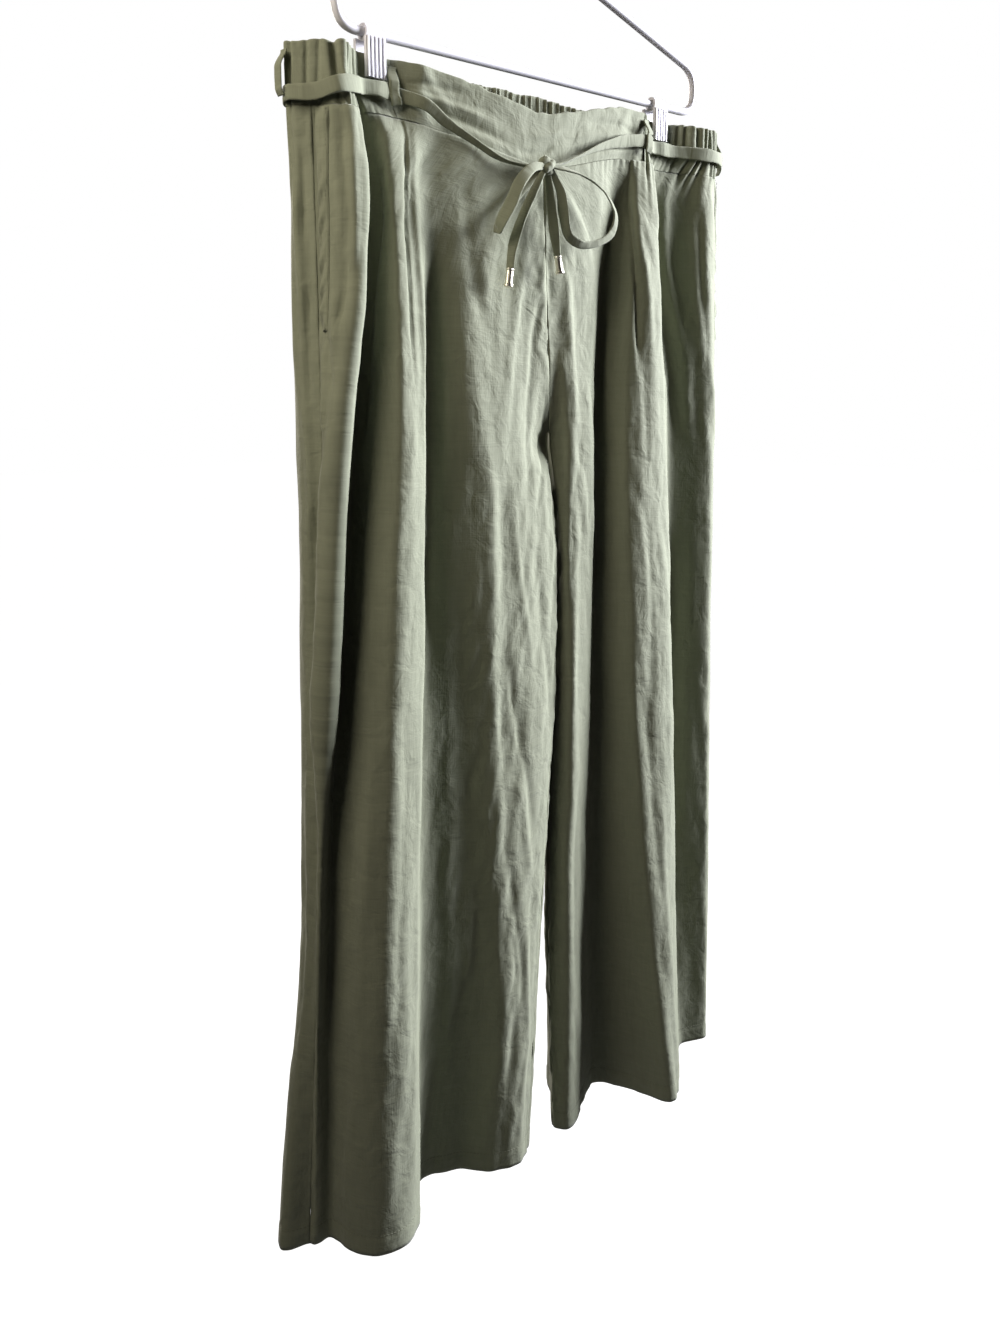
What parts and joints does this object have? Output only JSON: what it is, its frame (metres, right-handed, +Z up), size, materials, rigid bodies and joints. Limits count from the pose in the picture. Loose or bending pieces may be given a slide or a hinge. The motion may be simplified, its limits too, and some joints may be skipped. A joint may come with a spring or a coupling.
{
  "type": "palazzo pants on a clip hanger",
  "caption": "Wide-leg linen trousers with a tie belt, pleats and side pockets, hung by the waist from a hanger with clips.",
  "frame": {"origin": "where the underside of the hanger's hook rests on its rail", "axes": "+Z up, -Y out of the front of the garment, -X towards the garment's own right leg"},
  "size_m": [0.6132, 0.1492, 1.2633],
  "materials": {
    "cloth": "matt linen weave",
    "metal": "satin",
    "plastic": "satin"
  },
  "bodies": {
    "root": {"front_right": "cloth", "front_left": "cloth", "back_right": "cloth", "back_left": "cloth", "band_front": "cloth", "band_elastic": "cloth", "belt_round": "cloth", "bow_loop_right": "cloth", "bow_loop_left": "cloth", "belt_knot": "cloth", "tail_right": "cloth", "tail_left": "cloth", "loop_front_right": "cloth", "loop_front_left": "cloth", "loop_side_right": "cloth", "loop_side_left": "cloth", "loop_back": "cloth", "pocket_edge_right": "cloth", "pocket_edge_left": "cloth", "tip_right": "metal", "tip_left": "metal", "hanger_hook": "metal", "hanger_frame": "plastic", "hanger_neck": "plastic", "clip_right_front_jaw": "plastic", "clip_right_back_jaw": "plastic", "clip_right_sleeve": "plastic", "clip_left_front_jaw": "plastic", "clip_left_back_jaw": "plastic", "clip_left_sleeve": "plastic"}
  },
  "joints": []
}
